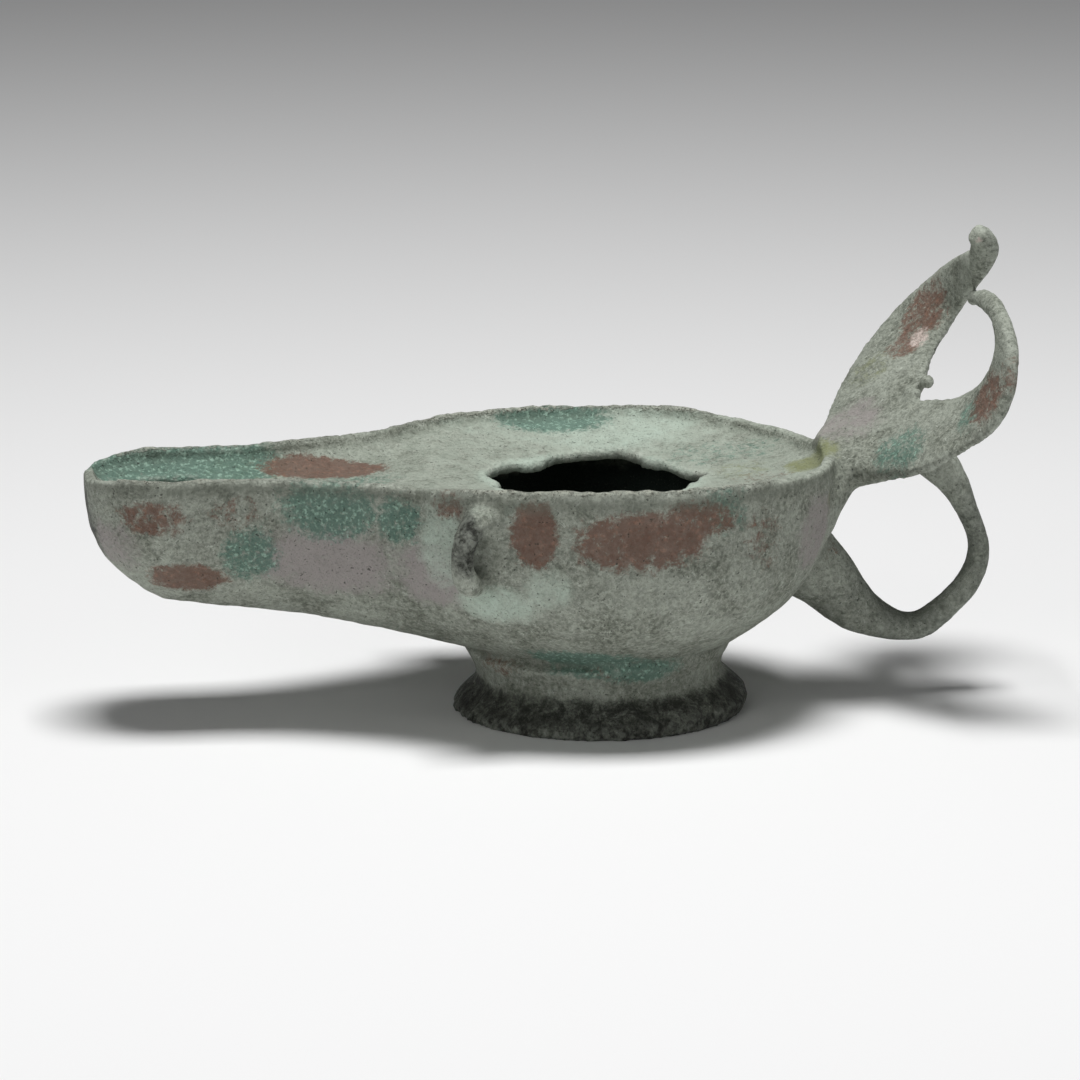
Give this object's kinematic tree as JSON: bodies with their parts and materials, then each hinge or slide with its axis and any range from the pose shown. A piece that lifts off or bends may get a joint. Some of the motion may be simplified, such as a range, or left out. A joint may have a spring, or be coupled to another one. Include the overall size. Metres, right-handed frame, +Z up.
{
  "type": "roman oil lamp",
  "caption": "Cast bronze Roman oil lamp: hollow bowl on a foot ring, long nozzle with wick hole, dished top, ring handle with crescent, and side lugs.",
  "frame": {"origin": "centre of the bounding box, on the ground under the foot", "axes": "+Z up, -X towards the nozzle's tip, +X towards the ring handle; the suspension lugs are on -Y and +Y"},
  "size_m": [0.1554, 0.0738, 0.0802],
  "materials": {
    "bronze": "corroded, matte green-grey patina"
  },
  "bodies": {
    "root": {"lamp_body": "bronze"}
  },
  "joints": []
}
